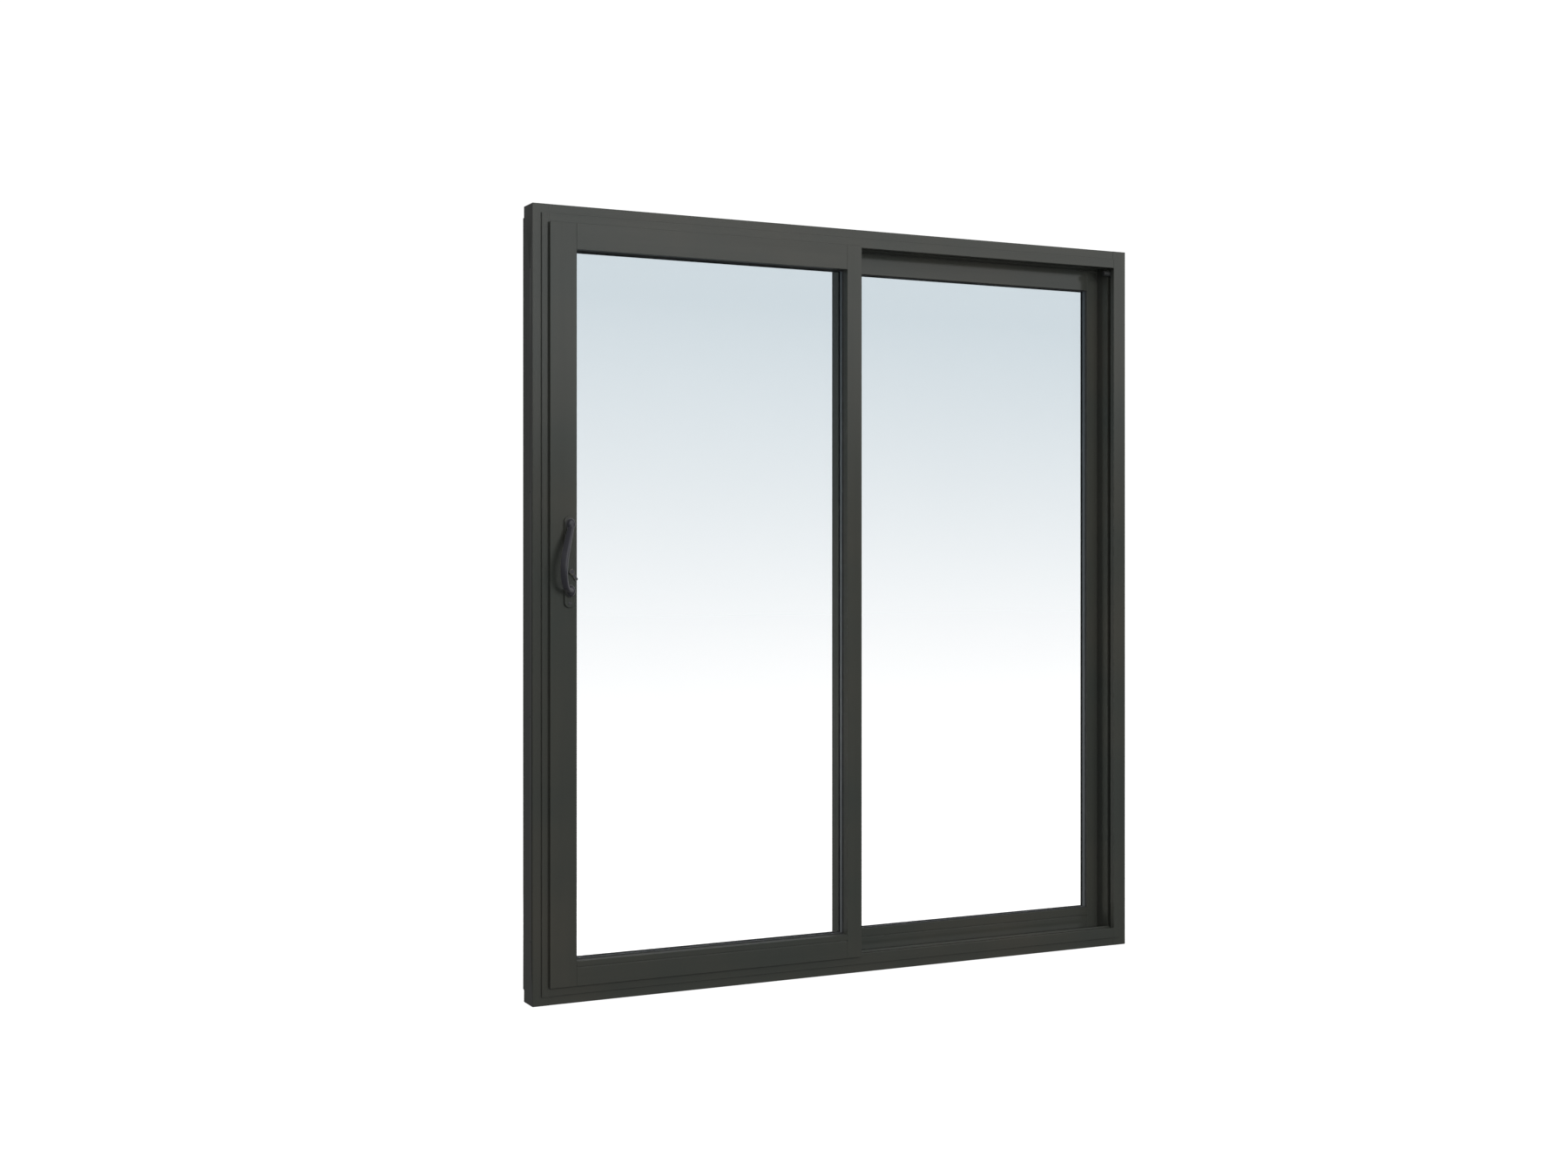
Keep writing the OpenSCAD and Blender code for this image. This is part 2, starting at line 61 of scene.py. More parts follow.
class Tree:
    """A material's node tree with short calls for making and joining nodes."""

    def __init__(self, name):
        self.mat = bpy.data.materials.new(name)
        self.mat.use_nodes = True
        self.nt = self.mat.node_tree
        self.nt.nodes.clear()
        self.coords = self.add("ShaderNodeTexCoord").outputs["Object"]

    def add(self, kind, **settings):
        node = self.nt.nodes.new(kind)
        for key, value in settings.items():
            setattr(node, key, value)
        return node

    def join(self, source, socket):
        self.nt.links.new(source, socket)

    def feed(self, socket, value):
        if isinstance(value, bpy.types.NodeSocket):
            self.join(value, socket)
        else:
            socket.default_value = value

    def stretched(self, scale):
        node = self.add("ShaderNodeMapping")
        self.join(self.coords, node.inputs["Vector"])
        node.inputs["Scale"].default_value = scale
        return node.outputs["Vector"]

    def noise(self, scale, detail=4.0, stretch=(1, 1, 1), roughness=0.55):
        node = self.add("ShaderNodeTexNoise")
        self.join(self.stretched(stretch), node.inputs["Vector"])
        node.inputs["Scale"].default_value = scale
        node.inputs["Detail"].default_value = detail
        node.inputs["Roughness"].default_value = roughness
        return node.outputs["Fac"]

    def ranged(self, value, low, high, to_low, to_high):
        node = self.add("ShaderNodeMapRange")
        self.feed(node.inputs["Value"], value)
        for socket, number in zip(RANGE_SOCKETS, (low, high, to_low, to_high)):
            node.inputs[socket].default_value = number
        return node.outputs["Result"]

    def maths(self, operation, a, b=0.0):
        node = self.add("ShaderNodeMath", operation=operation)
        self.feed(node.inputs[0], a)
        self.feed(node.inputs[1], b)
        return node.outputs["Value"]

    def mix(self, factor, a, b):
        node = self.add("ShaderNodeMix", data_type="RGBA")
        self.feed(node.inputs["Factor"], factor)
        self.feed(node.inputs[6], a)
        self.feed(node.inputs[7], b)
        return node.outputs[2]

    def edges(self, radius):
        """About 1 along sharp edges within radius metres, and 0 on flat faces."""
        bevel = self.add("ShaderNodeBevel", samples=BEVEL_SAMPLES)
        bevel.inputs["Radius"].default_value = radius
        geometry = self.add("ShaderNodeNewGeometry")
        dot = self.add("ShaderNodeVectorMath", operation="DOT_PRODUCT")
        self.join(bevel.outputs["Normal"], dot.inputs[0])
        self.join(geometry.outputs["Normal"], dot.inputs[1])
        return self.ranged(dot.outputs["Value"], EDGE_STARTS, EDGE_FULL, 0.0, 1.0)

    def bump(self, height, strength, distance, edge_radius=0.0):
        node = self.add("ShaderNodeBump")
        node.inputs["Strength"].default_value = strength
        node.inputs["Distance"].default_value = distance
        self.feed(node.inputs["Height"], height)
        if edge_radius:
            bevel = self.add("ShaderNodeBevel", samples=BEVEL_SAMPLES)
            bevel.inputs["Radius"].default_value = edge_radius
            self.join(bevel.outputs["Normal"], node.inputs["Normal"])
        return node.outputs["Normal"]

    def finish(self, colour, roughness, normal=None, **plain):
        shader = self.add("ShaderNodeBsdfPrincipled")
        self.feed(shader.inputs["Base Color"], colour)
        self.feed(shader.inputs["Roughness"], roughness)
        if normal is not None:
            self.join(normal, shader.inputs["Normal"])
        for name, value in plain.items():
            shader.inputs[name.replace("_", " ")].default_value = value
        out = self.add("ShaderNodeOutputMaterial")
        self.join(shader.outputs["BSDF"], out.inputs["Surface"])
        return self.mat


def rgb(r, g, b):
    return (r, g, b, 1.0)


FINE_BUMP, STREAK_SHADE = 0.3 * MM, 0.72
FILM_WORN_AND_HIGHLIGHT = rgb(0.105, 0.108, 0.097)


def coated_profile(name, base, light, grain):
    """Satin capping film: a faint grain along the profile, soft cloudy patches, and paler rubbed
    edges that are partly wear and partly a painted edge highlight.
    """
    t = Tree(name)
    cloud = t.noise(3.0, 3.0)
    streak = t.noise(30.0, 5.0, grain)
    speck = t.noise(900.0, 2.0)
    tone = t.mix(t.ranged(cloud, 0.35, 0.7, 0.0, 1.0), base, light)
    dark = rgb(*(STREAK_SHADE * c for c in base[:3]))
    tone = t.mix(t.ranged(streak, 0.35, 0.75, 0.0, 0.30), tone, dark)
    patchy = t.ranged(t.noise(40.0), 0.4, 0.7, 0.1, 0.7)
    # Paler edges: partly rubbed wear, partly a painted highlight along every edge
    tone = t.mix(t.maths("MULTIPLY", t.edges(WORN_EDGE_AND_HIGHLIGHT_RADIUS), patchy), tone, FILM_WORN_AND_HIGHLIGHT)
    rough = t.ranged(streak, 0.3, 0.8, 0.36, 0.50)
    fine = t.maths("ADD", t.maths("MULTIPLY", speck, 0.35), streak)
    normal = t.bump(fine, 0.08, FINE_BUMP, FILM_ROUND)
    return t.finish(
        tone, rough, normal, Specular_IOR_Level=0.15, Coat_Weight=0.85, Coat_Roughness=0.13
    )


GRAIN_X, GRAIN_Z = (0.04, 1.0, 1.0), (1.0, 1.0, 0.04)
BRONZE, BRONZE_LIGHT = rgb(0.037, 0.041, 0.036), rgb(0.048, 0.047, 0.039)
bronze_upright = coated_profile("bronze_upright", BRONZE, BRONZE_LIGHT, GRAIN_Z)
bronze_across = coated_profile("bronze_across", BRONZE, BRONZE_LIGHT, GRAIN_X)


PAINT_DARK, PAINT_PALE = rgb(0.026, 0.026, 0.032), rgb(0.036, 0.036, 0.042)
PAINTED_RIM_SHEEN, PAINTED_SHEEN_BLEND = rgb(0.20, 0.20, 0.20), 0.4


def handle_finish(name, edge_wear_and_highlight, edge_wear_and_highlight_low):
    """Painted casting with an orange-peel surface, with a painted sheen where it turns away from
    the eye, and paler edges that are partly wear and partly a painted highlight.
    """
    t = Tree(name)
    peel = t.noise(650.0, 2.0)
    cloud = t.noise(25.0, 3.0)
    tone = t.mix(t.ranged(cloud, 0.35, 0.7, 0.0, 1.0), PAINT_DARK, PAINT_PALE)
    # Painted sheen: the finish turns pale grey where the surface turns away from the eye
    rim = t.add("ShaderNodeLayerWeight")
    rim.inputs["Blend"].default_value = PAINTED_SHEEN_BLEND
    turned = t.ranged(rim.outputs["Facing"], 0.30, 0.80, 0.0, 1.0)
    tone = t.mix(turned, tone, PAINTED_RIM_SHEEN)
    # Paler edges: partly wear and partly a painted highlight, strongest on the latch
    patchy = t.ranged(t.noise(120.0), 0.4, 0.65, edge_wear_and_highlight_low, 0.9)
    tone = t.mix(t.maths("MULTIPLY", t.edges(WORN_EDGE_AND_HIGHLIGHT_RADIUS), patchy), tone, edge_wear_and_highlight)
    return t.finish(
        tone,
        t.ranged(cloud, 0.3, 0.7, 0.30, 0.42),
        t.bump(peel, 0.16, FINE_BUMP, CAST_ROUND),
        Coat_Weight=0.25,
        Coat_Roughness=0.22,
    )


def rubber_finish(name, tone_a, tone_b, scale):
    t = Tree(name)
    cloud = t.noise(scale, 3.0)
    fine = t.noise(1500.0, 2.0)
    return t.finish(
        t.mix(t.ranged(cloud, 0.35, 0.7, 0.0, 1.0), tone_a, tone_b),
        t.ranged(fine, 0.3, 0.7, 0.55, 0.75),
        t.bump(fine, 0.25, FINE_BUMP),
    )


FIBRE_BUMP, HAIR_BUMP = 1 * MM, 0.2 * MM


def pile_finish():
    t = Tree("pile")
    fibre = t.noise(1800.0, 3.0, (1.0, 0.15, 1.0))
    return t.finish(
        t.mix(fibre, rgb(0.012, 0.012, 0.013), rgb(0.06, 0.06, 0.062)),
        0.9,
        t.bump(fibre, 0.8, FIBRE_BUMP),
        Sheen_Weight=0.4,
    )


def steel_finish():
    t = Tree("steel")
    brush = t.noise(260.0, 4.0, GRAIN_X)
    tarnish = t.noise(14.0, 4.0)
    dull = t.ranged(tarnish, 0.4, 0.75, 0.0, 0.6)
    return t.finish(
        t.mix(dull, rgb(0.56, 0.56, 0.55), rgb(0.34, 0.33, 0.31)),
        t.ranged(brush, 0.3, 0.7, 0.26, 0.42),
        t.bump(brush, 0.15, HAIR_BUMP),
        Metallic=1.0,
    )


def nylon_finish():
    t = Tree("nylon")
    cloud = t.noise(60.0, 3.0)
    turned = t.noise(500.0, 2.0, (1.0, 0.2, 1.0))
    return t.finish(
        t.mix(cloud, rgb(0.012, 0.012, 0.013), rgb(0.028, 0.028, 0.030)),
        t.ranged(turned, 0.3, 0.7, 0.35, 0.5),
        t.bump(turned, 0.2, HAIR_BUMP),
    )


def spacer_finish():
    t = Tree("spacer")
    seal = t.noise(220.0, 3.0)
    return t.finish(
        t.mix(seal, rgb(0.105, 0.115, 0.12), rgb(0.14, 0.15, 0.155)),
        t.ranged(seal, 0.3, 0.7, 0.40, 0.55),
        t.bump(seal, 0.2, HAIR_BUMP),
        Metallic=0.3,
    )


# The glass is clear below one height and fully tinted above the other: a painted sky reflection,
# bluish high up
REFLECTION_CLEAR_Z, REFLECTION_FULL_Z, PAINTED_SKY_REFLECTION = 0.68, 1.80, rgb(0.876, 0.901, 0.915)
PAINTED_REFLECTION_DRIFT, GLASS_SHINE, SHINE_ROUGH, SHINE_IOR = 0.05, rgb(0.9, 0.95, 1.0), 0.02, 1.2


def glass_finish():
    """Clear panes tinted sky-blue high up and clear towards the foot, a painted sky reflection.

    Only faces turned to the eye mirror: one seen from inside would mirror wholly at a slant.
    """
    t = Tree("pane_glass")
    height = t.add("ShaderNodeSeparateXYZ")
    t.join(t.coords, height.inputs["Vector"])
    drift = t.maths("MULTIPLY", t.maths("SUBTRACT", t.noise(1.6, 2.0), 0.5), PAINTED_REFLECTION_DRIFT)
    level = t.maths("ADD", height.outputs["Z"], drift)
    share = t.ranged(level, REFLECTION_CLEAR_Z, REFLECTION_FULL_Z, 0.0, 1.0)
    tone = t.mix(share, rgb(1.0, 1.0, 1.0), PAINTED_SKY_REFLECTION)
    clear = t.add("ShaderNodeBsdfTransparent")
    t.join(tone, clear.inputs["Color"])
    shine = t.add("ShaderNodeBsdfGlossy")
    shine.inputs["Roughness"].default_value = SHINE_ROUGH
    shine.inputs["Color"].default_value = GLASS_SHINE
    fresnel = t.add("ShaderNodeFresnel")
    fresnel.inputs["IOR"].default_value = SHINE_IOR
    back = t.add("ShaderNodeNewGeometry").outputs["Backfacing"]
    mirror = t.maths("MULTIPLY", fresnel.outputs["Fac"], t.maths("SUBTRACT", 1.0, back))
    both = t.add("ShaderNodeMixShader")
    t.join(mirror, both.inputs["Fac"])
    t.join(clear.outputs["BSDF"], both.inputs[1])
    t.join(shine.outputs["BSDF"], both.inputs[2])
    out = t.add("ShaderNodeOutputMaterial")
    t.join(both.outputs["Shader"], out.inputs["Surface"])
    return t.mat


handle_metal = handle_finish("handle_metal", rgb(0.13, 0.12, 0.115), 0.15)
# The latch's worn edges are brass-bright: partly wear and partly a painted highlight
latch_metal = handle_finish("latch_metal", rgb(0.42, 0.37, 0.24), 0.6)
rubber = rubber_finish("rubber", rgb(0.022, 0.023, 0.023), rgb(0.034, 0.035, 0.035), 40.0)
pile = pile_finish()
steel = steel_finish()
nylon = nylon_finish()
spacer = spacer_finish()
glass = glass_finish()

UPRIGHT = {
    "lock_jamb", "fixed_jamb", "fixed_meeting_stile", "fixed_jamb_stile",
    "slider_lock_stile", "slider_meeting_stile", "slider_interlock", "inside_handle_plate",
}


def material_of(name):
    if "pane" in name:
        return glass
    if "gasket" in name or name == "open_bumper":
        return rubber
    if "spacer" in name:
        return spacer
    if name == "interlock_pile":
        return pile
    if name in ("keeper", "lock_faceplate") or "housing" in name:
        return steel
    if name.endswith("roller") or "guide" in name:
        return nylon
    if name == "thumb_latch":
        return latch_metal
    if name in ("inside_grip", "outside_pull"):
        return handle_metal
    return bronze_upright if name in UPRIGHT else bronze_across


MERGE_DIST, FLAT_ANGLE, SHARP_ANGLE = 1e-6, math.radians(0.5), math.radians(40)
FINE_EDGE, PROFILE_EDGE, EDGE_SEGMENTS = 0.3 * MM, 0.8 * MM, 2
EDGES = {
    "inside_handle_plate": 1.8 * MM,
    "outside_pull": 1.2 * MM,
    "thumb_latch": 1.0 * MM,
    "open_bumper": 1.0 * MM,
}


def soften(obj, width):
    """Welds the mesh, clears its flat triangles and rounds its sharp edges."""
    weld = obj.modifiers.new("weld", "WELD")
    weld.merge_threshold = MERGE_DIST
    flat = obj.modifiers.new("flat", "DECIMATE")
    flat.decimate_type = "DISSOLVE"
    flat.angle_limit = FLAT_ANGLE
    round_off = obj.modifiers.new("round", "BEVEL")
    round_off.width = width
    round_off.segments = EDGE_SEGMENTS
    round_off.limit_method = "ANGLE"
    round_off.angle_limit = SHARP_ANGLE
    round_off.use_clamp_overlap = True
    round_off.harden_normals = True


for name, obj in nodes.items():
    obj.data.materials.clear()
    obj.data.materials.append(material_of(name))
    big = material_of(name) in (bronze_upright, bronze_across)
    soften(obj, EDGES.get(name, PROFILE_EDGE if big else FINE_EDGE))


# ---- small pieces -----------------------------------------------------------------------------

SLOT = {"handle_metal": handle_metal, "rubber": rubber, "steel": steel}
WELD_DIST = 1e-7


def piece(name, bm, slot, body, smooth_angle=35):
    """Makes one object of a bmesh, with the finish of a material slot, on a CAD body."""
    bmesh.ops.recalc_face_normals(bm, faces=bm.faces)
    mesh = bpy.data.meshes.new(name)
    bm.to_mesh(mesh)
    bm.free()
    mesh.materials.append(SLOT[slot])
    mesh.shade_smooth()
    mesh.set_sharp_from_angle(angle=math.radians(smooth_angle))
    obj = bpy.data.objects.new(name, mesh)
    bpy.context.scene.collection.objects.link(obj)
    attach(obj, body)
    return obj


def skin(bm, rings, closed_ends=True):
    """Joins rings of the same number of vertices, and closes the first and last if asked."""
    made = [[bm.verts.new(p) for p in ring] for ring in rings]
    count = len(made[0])
    for near, far in zip(made, made[1:]):
        for i in range(count):
            j = (i + 1) % count
            bm.faces.new((near[i], near[j], far[j], far[i]))
    if closed_ends:
        bm.faces.new(made[0])
        bm.faces.new(made[-1])


# Proportions of a cross recess and dome: shares of the head's radius or height
ARM_HALF, ARM_REACH, RECESS_DEPTH, DOME_FALL = 0.17, 0.62, 0.62, 0.80
ARM_EDGE, ARM_TAPER, ARM_FLOOR, END_TAPER = 1.2, 0.6, 0.4, 0.25
SCREW_STEPS, SCREW_RINGS = 48, 12


def screw_head(bm, at, axis, radius, height, turn):
    """A domed screw head with a tapered cross recess, standing on at along axis."""
    out = Vector(axis).normalized()
    side = out.orthogonal().normalized()
    up = out.cross(side)
    arm, reach, depth = ARM_HALF * radius, ARM_REACH * radius, RECESS_DEPTH * height

    def lift(x, y):
        r = math.hypot(x, y)
        dome = height * math.sqrt(max(0.0, 1 - DOME_FALL * (r / radius) ** 2))
        across, along = sorted((abs(x), abs(y)))
        if across >= arm * ARM_EDGE:
            return dome
        wall = min(1.0, max(0.0, (arm - across) / (ARM_TAPER * arm) + ARM_FLOOR))
        end = min(1.0, max(0.0, (reach - along) / (END_TAPER * radius)))
        return dome - depth * wall * end

    centre = bm.verts.new(Vector(at) + out * lift(0, 0))
    last = None
    for k in range(1, SCREW_RINGS + 1):
        r = radius * k / SCREW_RINGS
        ring = []
        for i in range(SCREW_STEPS):
            a = 2 * math.pi * i / SCREW_STEPS
            h = lift(r * math.cos(a), r * math.sin(a))
            spin = a + turn
            place = side * (r * math.cos(spin)) + up * (r * math.sin(spin))
            ring.append(bm.verts.new(Vector(at) + place + out * h))
        for i in range(SCREW_STEPS):
            j = (i + 1) % SCREW_STEPS
            if last is None:
                bm.faces.new((centre, ring[i], ring[j]))
            else:
                bm.faces.new((last[i], ring[i], ring[j], last[j]))
        last = ring
    foot = [bm.verts.new(v.co - out * (out.dot(v.co - Vector(at)))) for v in last]
    for i in range(SCREW_STEPS):
        j = (i + 1) % SCREW_STEPS
        bm.faces.new((last[i], last[j], foot[j], foot[i]))
    bm.faces.new(foot)


def screws(name, places, axis, radius, height, slot, body):
    bm = bmesh.new()
    for at in places:
        screw_head(bm, at, axis, radius, height, rng.uniform(0, math.pi / 2))
    return piece(name, bm, slot, body)


# Radius and height of each kind of screw head
JAMB_SCREW_R, JAMB_SCREW_H = 4.6 * MM, 2.6 * MM
LOCK_SCREW_R, KEEPER_SCREW_H, FACEPLATE_SCREW_H = 3.4 * MM, 1.2 * MM, 1.0 * MM
HANDLE_SCREW_R, HANDLE_SCREW_H = 3.8 * MM, 1.6 * MM

# Installation screws in the jambs' channels
SCREW_END, SCREW_COUNT = 160 * MM, 4
CHANNEL_D = 14 * MM
jamb_low, jamb_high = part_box("lock_jamb")
x_in = abs(jamb_high.x)
keep_low, keep_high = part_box("keeper")
channel_y = (keep_low.y + keep_high.y) / 2
pitch = (jamb_high.z - jamb_low.z - 2 * SCREW_END) / (SCREW_COUNT - 1)
heights = [SCREW_END + i * pitch for i in range(SCREW_COUNT)]
for side, jamb in ((-1, "lock_jamb"), (1, "fixed_jamb")):
    screws(
        jamb + "_screw_heads",
        [(side * (x_in + CHANNEL_D), channel_y, z) for z in heights],
        (-side, 0, 0), JAMB_SCREW_R, JAMB_SCREW_H, "steel", "frame",
    )

# Screws of the keeper and of the lock's faceplate
KEEPER_IN, FACEPLATE_IN = 14 * MM, 12 * MM
screws(
    "keeper_screw_heads",
    [(keep_high.x, channel_y, z) for z in (keep_low.z + KEEPER_IN, keep_high.z - KEEPER_IN)],
    (1, 0, 0), LOCK_SCREW_R, KEEPER_SCREW_H, "steel", "frame",
)
face_low, face_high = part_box("lock_faceplate")
face_y = (face_low.y + face_high.y) / 2
screws(
    "faceplate_screw_heads",
    [(face_low.x, face_y, z) for z in (face_low.z + FACEPLATE_IN, face_high.z - FACEPLATE_IN)],
    (-1, 0, 0), LOCK_SCREW_R, FACEPLATE_SCREW_H, "steel", "sliding_panel",
)

# Screws of the handle plate and of the outside pull
PLATE_SCREW_IN, PULL_SCREW_IN, PULL_T = 11 * MM, 14 * MM, 4 * MM
plate_low, plate_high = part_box("inside_handle_plate")
plate_mid = (plate_low + plate_high) / 2
screws(
    "plate_screw_heads",
    [(plate_mid.x, plate_low.y, plate_low.z + PLATE_SCREW_IN)],
    (0, -1, 0), HANDLE_SCREW_R, HANDLE_SCREW_H, "handle_metal", "sliding_panel",
)
pull_low, pull_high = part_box("outside_pull")
pull_x = (pull_low.x + pull_high.x) / 2 - PULL_T / 2
stile_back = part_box("slider_lock_stile")[1].y
screws(
    "pull_screw_heads",
    [
        (pull_x, stile_back + PULL_T, z)
        for z in (pull_low.z + PULL_SCREW_IN, pull_high.z - PULL_SCREW_IN)
    ],
    (0, 1, 0), HANDLE_SCREW_R, HANDLE_SCREW_H, "handle_metal", "sliding_panel",
)

# Lips of the glazing gaskets, round both faces of each glazed opening
LIP_REACH, LIP_HEIGHT, LIP_SINK, LIP_STEPS = 2.2 * MM, 2.6 * MM, 0.6 * MM, 6


def gasket_lip(name, x, z, glass_y, out, body):
    """A rounded lip that stands on the glass at glass_y, in the opening x by z."""
    section = [(-LIP_SINK, 0.0), (-LIP_SINK, LIP_HEIGHT)]
    for i in range(LIP_STEPS + 1):
        a = math.pi / 2 * (1 - i / LIP_STEPS)
        section.append((LIP_REACH * math.cos(a), LIP_HEIGHT * math.sin(a)))
    bm = bmesh.new()
    loops = []
    for inset, rise in section:
        y = glass_y + out * rise
        loops.append(
            [
                (x[0] + inset, y, z[0] + inset),
                (x[1] - inset, y, z[0] + inset),
                (x[1] - inset, y, z[1] - inset),
                (x[0] + inset, y, z[1] - inset),
            ]
        )
    loops.append(loops[0])
    skin(bm, loops, closed_ends=False)
    bmesh.ops.remove_doubles(bm, verts=bm.verts, dist=WELD_DIST)
    piece(name, bm, "rubber", body)


for panel, body, left, right, foot, top in (
    ("slider", "sliding_panel", "slider_lock_stile", "slider_meeting_stile",
     "slider_bottom_rail", "slider_top_rail"),
    ("fixed", "frame", "fixed_meeting_stile", "fixed_jamb_stile",
     "fixed_bottom_rail", "fixed_top_rail"),
):
    x = (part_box(left)[1].x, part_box(right)[0].x)
    z = (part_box(foot)[1].z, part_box(top)[0].z)
    gasket_lip(panel + "_inner_gasket_lip", x, z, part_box(panel + "_inner_pane")[0].y, -1, body)
    gasket_lip(panel + "_outer_gasket_lip", x, z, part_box(panel + "_outer_pane")[1].y, 1, body)

# The grip: two oval bosses on the plate and a flattened bar that swells out between them
BOSS_W, BOSS_H, BOSS_DEPTH = 12 * MM, 16 * MM, 18 * MM
BOSS_SIDE, BOSS_DOME, BOSS_RINGS, BOSS_STEPS = 0.55, 0.9, 14, 40
GRIP_SPAN, GRIP_UP = 168 * MM, 11 * MM
GRIP_BOW, GRIP_SEAT, GRIP_LEAN = 38 * MM, 0.6, 48
GRIP_AIM = math.radians(-90 - GRIP_LEAN)  # leans from straight out towards the jamb
GRIP_ACROSS, GRIP_THICK, GRIP_END = 9.5 * MM, 6.0 * MM, 0.82
GRIP_SKEW, GRIP_SQUARE = 0.56, 0.5
GRIP_FULL_LOW, GRIP_FULL_TOP = 0.6, 1.15
GRIP_RINGS, GRIP_STEPS, GRIP_SLOPE_STEP, GRIP_CREASE = 72, 32, 0.004, 50
grip_mid_z = plate_mid.z + GRIP_UP
plate_face = plate_low.y


def boss(bm, z):
    rings = []
    for k in range(BOSS_RINGS):
        a = math.pi / 2 * k / (BOSS_RINGS - 0.5)
        share = math.cos(a) ** BOSS_SIDE
        rise = BOSS_DEPTH * math.sin(a) ** BOSS_DOME
        rings.append(
            [
                (
                    plate_mid.x + BOSS_W * share * math.cos(2 * math.pi * i / BOSS_STEPS),
                    plate_face - rise,
                    z + BOSS_H * share * math.sin(2 * math.pi * i / BOSS_STEPS),
                )
                for i in range(BOSS_STEPS)
            ]
        )
    skin(bm, rings)


def grip_point(share):
    """Middle line of the bar from the lower boss, at 0, to the upper one, at 1."""
    fullness = GRIP_FULL_LOW + (GRIP_FULL_TOP - GRIP_FULL_LOW) * share
    bow = GRIP_BOW * math.sin(math.pi * share**GRIP_SKEW) ** fullness if 0 < share < 1 else 0.0
    start = plate_face - GRIP_SEAT * BOSS_DEPTH
    return Vector(
        (
            plate_mid.x + bow * math.cos(GRIP_AIM),
            start + bow * math.sin(GRIP_AIM),
            grip_mid_z - GRIP_SPAN / 2 + share * GRIP_SPAN,
        )
    )


def squared(value):
    """Draws a circle's cosine or sine out towards a rounded square."""
    return math.copysign(abs(value) ** GRIP_SQUARE, value)


def grip_bar(bm):
    outwards = Vector((math.cos(GRIP_AIM), math.sin(GRIP_AIM), 0))
    rings = []
    for k in range(GRIP_RINGS + 1):
        share = k / GRIP_RINGS
        above = grip_point(min(1, share + GRIP_SLOPE_STEP))
        along = (above - grip_point(max(0, share - GRIP_SLOPE_STEP))).normalized()
        across = along.cross(outwards).normalized()
        normal = across.cross(along).normalized()
        swell = GRIP_END + (1 - GRIP_END) * math.sin(math.pi * share)
        ring = []
        for i in range(GRIP_STEPS):
            a = 2 * math.pi * i / GRIP_STEPS
            aside = across * (GRIP_ACROSS * swell * squared(math.cos(a)))
            out = normal * (GRIP_THICK * swell * squared(math.sin(a)))
            ring.append(grip_point(share) + aside + out)
        rings.append(ring)
    skin(bm, rings)


bm = bmesh.new()
for side in (-1, 1):
    boss(bm, grip_mid_z + side * GRIP_SPAN / 2)
grip_bar(bm)
grip = piece("grip", bm, "handle_metal", "sliding_panel", GRIP_CREASE)
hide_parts("inside_grip")


# ---- camera, light, floor -------------------------------------------------------------------

CAMERA_AT = (-2.535, -4.7255, 1.1289)
CAMERA_TURN = 26.42
LENS, SENSOR = 45.08, 36.0
HORIZON_DROP, FAR = -0.0196, 200

camera_data = bpy.data.cameras.new("camera")
camera = bpy.data.objects.new("camera", camera_data)
bpy.context.scene.collection.objects.link(camera)
camera.location = CAMERA_AT
camera.rotation_euler = (math.radians(90), 0, math.radians(-CAMERA_TURN))
camera_data.sensor_width = SENSOR
camera_data.lens = LENS
camera_data.shift_y = HORIZON_DROP
camera_data.clip_end = FAR
bpy.context.scene.camera = camera

world = bpy.data.worlds.new("studio")
bpy.context.scene.world = world
world.use_nodes = True
wt = world.node_tree
wt.nodes.clear()


def world_node(kind, **settings):
    node = wt.nodes.new(kind)
    for key, value in settings.items():
        setattr(node, key, value)
    return node


def backdrop(colour, strength):
    node = world_node("ShaderNodeBackground")
    node.inputs["Color"].default_value = colour
    if isinstance(strength, bpy.types.NodeSocket):
        wt.links.new(strength, node.inputs["Strength"])
    else:
        node.inputs["Strength"].default_value = strength
    return node.outputs["Background"]


def eased(value, low, high, to_low=0.0, to_high=1.0):
    node = world_node("ShaderNodeMapRange", interpolation_type="SMOOTHSTEP")
    wt.links.new(value, node.inputs["Value"])
    for socket, number in zip(RANGE_SOCKETS, (low, high, to_low, to_high)):
        node.inputs[socket].default_value = number
    return node.outputs["Result"]


# The camera sees white paper and matt surfaces get a soft sky. What shines in the gloss is a
# bright wall in front, above eye level, and a dim room elsewhere.
WHITE, COOL_WHITE = rgb(1, 1, 1), rgb(0.97, 0.99, 1)
RIPPLE_SCALE, RIPPLE_DETAIL, RIPPLE_DROP = 9.0, 5.0, -0.10
WALL_FOOT, WALL_SIDE, SKY_EDGE = (-0.03, 0.07), (-0.35, -0.75), (-0.25, 0.15)
PAPER, AMBIENT, AMBIENT_LOW, GLOSS_LOW, GLOSS_HIGH = 1.06, 0.50, 0.05, 0.12, 1.02
direction = world_node("ShaderNodeTexCoord").outputs["Generated"]
split = world_node("ShaderNodeSeparateXYZ")
wt.links.new(direction, split.inputs["Vector"])
ripple = world_node("ShaderNodeTexNoise")
wt.links.new(direction, ripple.inputs["Vector"])
ripple.inputs["Scale"].default_value = RIPPLE_SCALE
ripple.inputs["Detail"].default_value = RIPPLE_DETAIL
edge = world_node("ShaderNodeMath", operation="MULTIPLY_ADD")
wt.links.new(ripple.outputs["Fac"], edge.inputs[0])
edge.inputs[1].default_value = RIPPLE_DROP
wt.links.new(split.outputs["Z"], edge.inputs[2])
both = world_node("ShaderNodeMath", operation="MULTIPLY")
wt.links.new(eased(edge.outputs["Value"], *WALL_FOOT), both.inputs[0])
wt.links.new(eased(split.outputs["Y"], *WALL_SIDE), both.inputs[1])
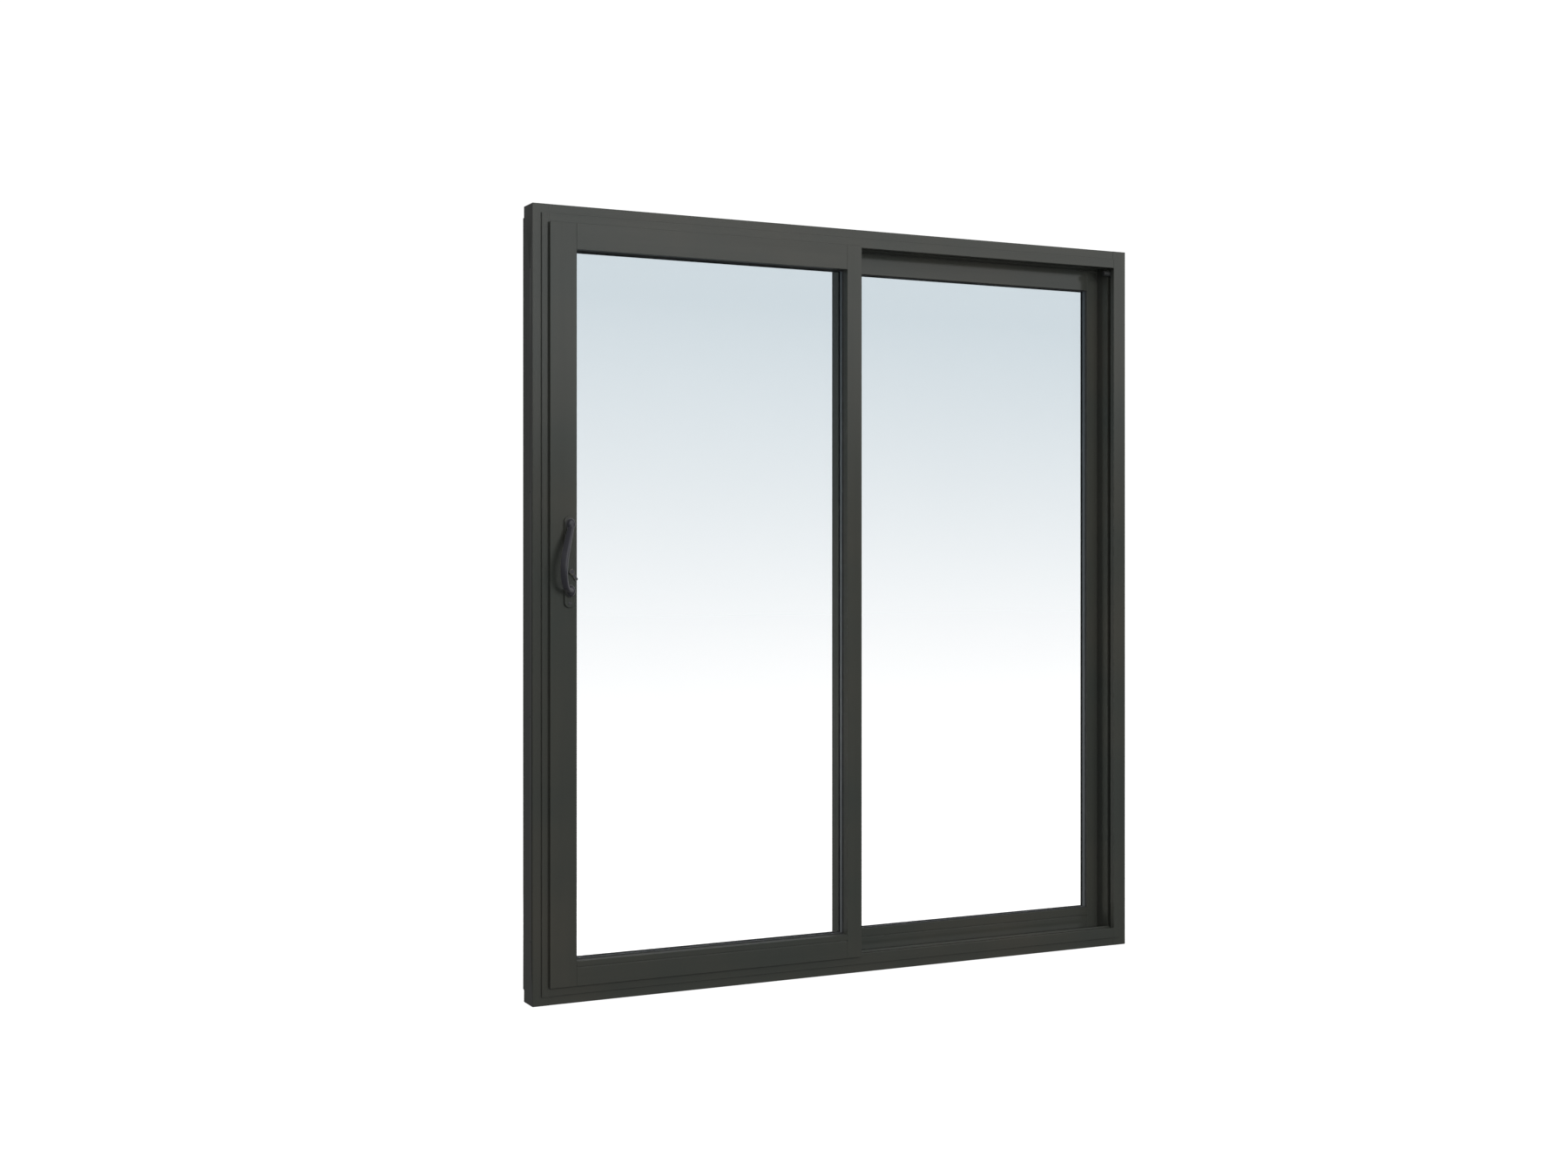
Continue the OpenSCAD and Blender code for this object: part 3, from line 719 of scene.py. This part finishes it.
gloss = world_node("ShaderNodeMapRange")
wt.links.new(both.outputs["Value"], gloss.inputs["Value"])
gloss.inputs["To Min"].default_value = GLOSS_LOW
gloss.inputs["To Max"].default_value = GLOSS_HIGH
sky = eased(split.outputs["Z"], *SKY_EDGE, AMBIENT_LOW, AMBIENT)
ray = world_node("ShaderNodeLightPath")
inner = world_node("ShaderNodeMixShader")
wt.links.new(ray.outputs["Is Glossy Ray"], inner.inputs["Fac"])
wt.links.new(backdrop(WHITE, sky), inner.inputs[1])
wt.links.new(backdrop(COOL_WHITE, gloss.outputs["Result"]), inner.inputs[2])
outer = world_node("ShaderNodeMixShader")
wt.links.new(ray.outputs["Is Camera Ray"], outer.inputs["Fac"])
wt.links.new(inner.outputs["Shader"], outer.inputs[1])
wt.links.new(backdrop(WHITE, PAPER), outer.inputs[2])
wt.links.new(outer.outputs["Shader"], world_node("ShaderNodeOutputWorld").inputs["Surface"])


def softbox(name, at, aim, size, power):
    data = bpy.data.lights.new(name, "AREA")
    data.shape = "RECTANGLE"
    data.size, data.size_y = size
    data.energy = power
    lamp = bpy.data.objects.new(name, data)
    lamp.location = at
    lamp.rotation_euler = (Vector(aim) - Vector(at)).to_track_quat("-Z", "Y").to_euler()
    lamp.visible_camera = False
    lamp.visible_glossy = False
    bpy.context.scene.collection.objects.link(lamp)


# Name, place, aim, width and height, and watts of each lamp
LAMPS = (
    ("key", (0.7, -5.8, 2.3), (0.0, 0.0, 1.1), (3.0, 2.2), 205),
    ("fill", (-2.6, -5.6, 1.1), (0.3, 0.0, 1.0), (1.6, 1.2), 55),
    ("back", (0.5, 4.5, 3.5), (0.0, 0.0, 1.0), (3.0, 2.0), 40),
    ("reveals", (-0.75, 1.3, 1.1), (0.5, 0.0, 1.1), (0.5, 1.8), 34),
    ("side", (5.0, 0.3, 2.4), (0.9, 0.0, 1.0), (2.0, 2.0), 110),
)
for lamp_values in LAMPS:
    softbox(*lamp_values)

bpy.context.scene.view_settings.view_transform = "Standard"

FLOOR_HALF, FLOOR_DROP, FLOOR_GLOW = 30.0, 1 * MM, 0.93
FLOOR_CORNERS = [(-1, -1), (1, -1), (1, 1), (-1, 1)]
floor_mesh = bpy.data.meshes.new("floor")
floor_mesh.from_pydata(
    [(FLOOR_HALF * x, FLOOR_HALF * y, 0) for x, y in FLOOR_CORNERS], [], [(0, 1, 2, 3)]
)
floor = bpy.data.objects.new("floor", floor_mesh)
floor.location.z = -FLOOR_DROP
bpy.context.scene.collection.objects.link(floor)
t = Tree("floor_paint")
floor_mesh.materials.append(
    t.finish(
        t.mix(t.noise(2.0), rgb(0.24, 0.24, 0.24), rgb(0.26, 0.26, 0.26)),
        0.9,
        Emission_Color=WHITE,
        Emission_Strength=FLOOR_GLOW,
        Specular_IOR_Level=0.0,
    )
)
floor.visible_glossy = False
floor.visible_diffuse = False
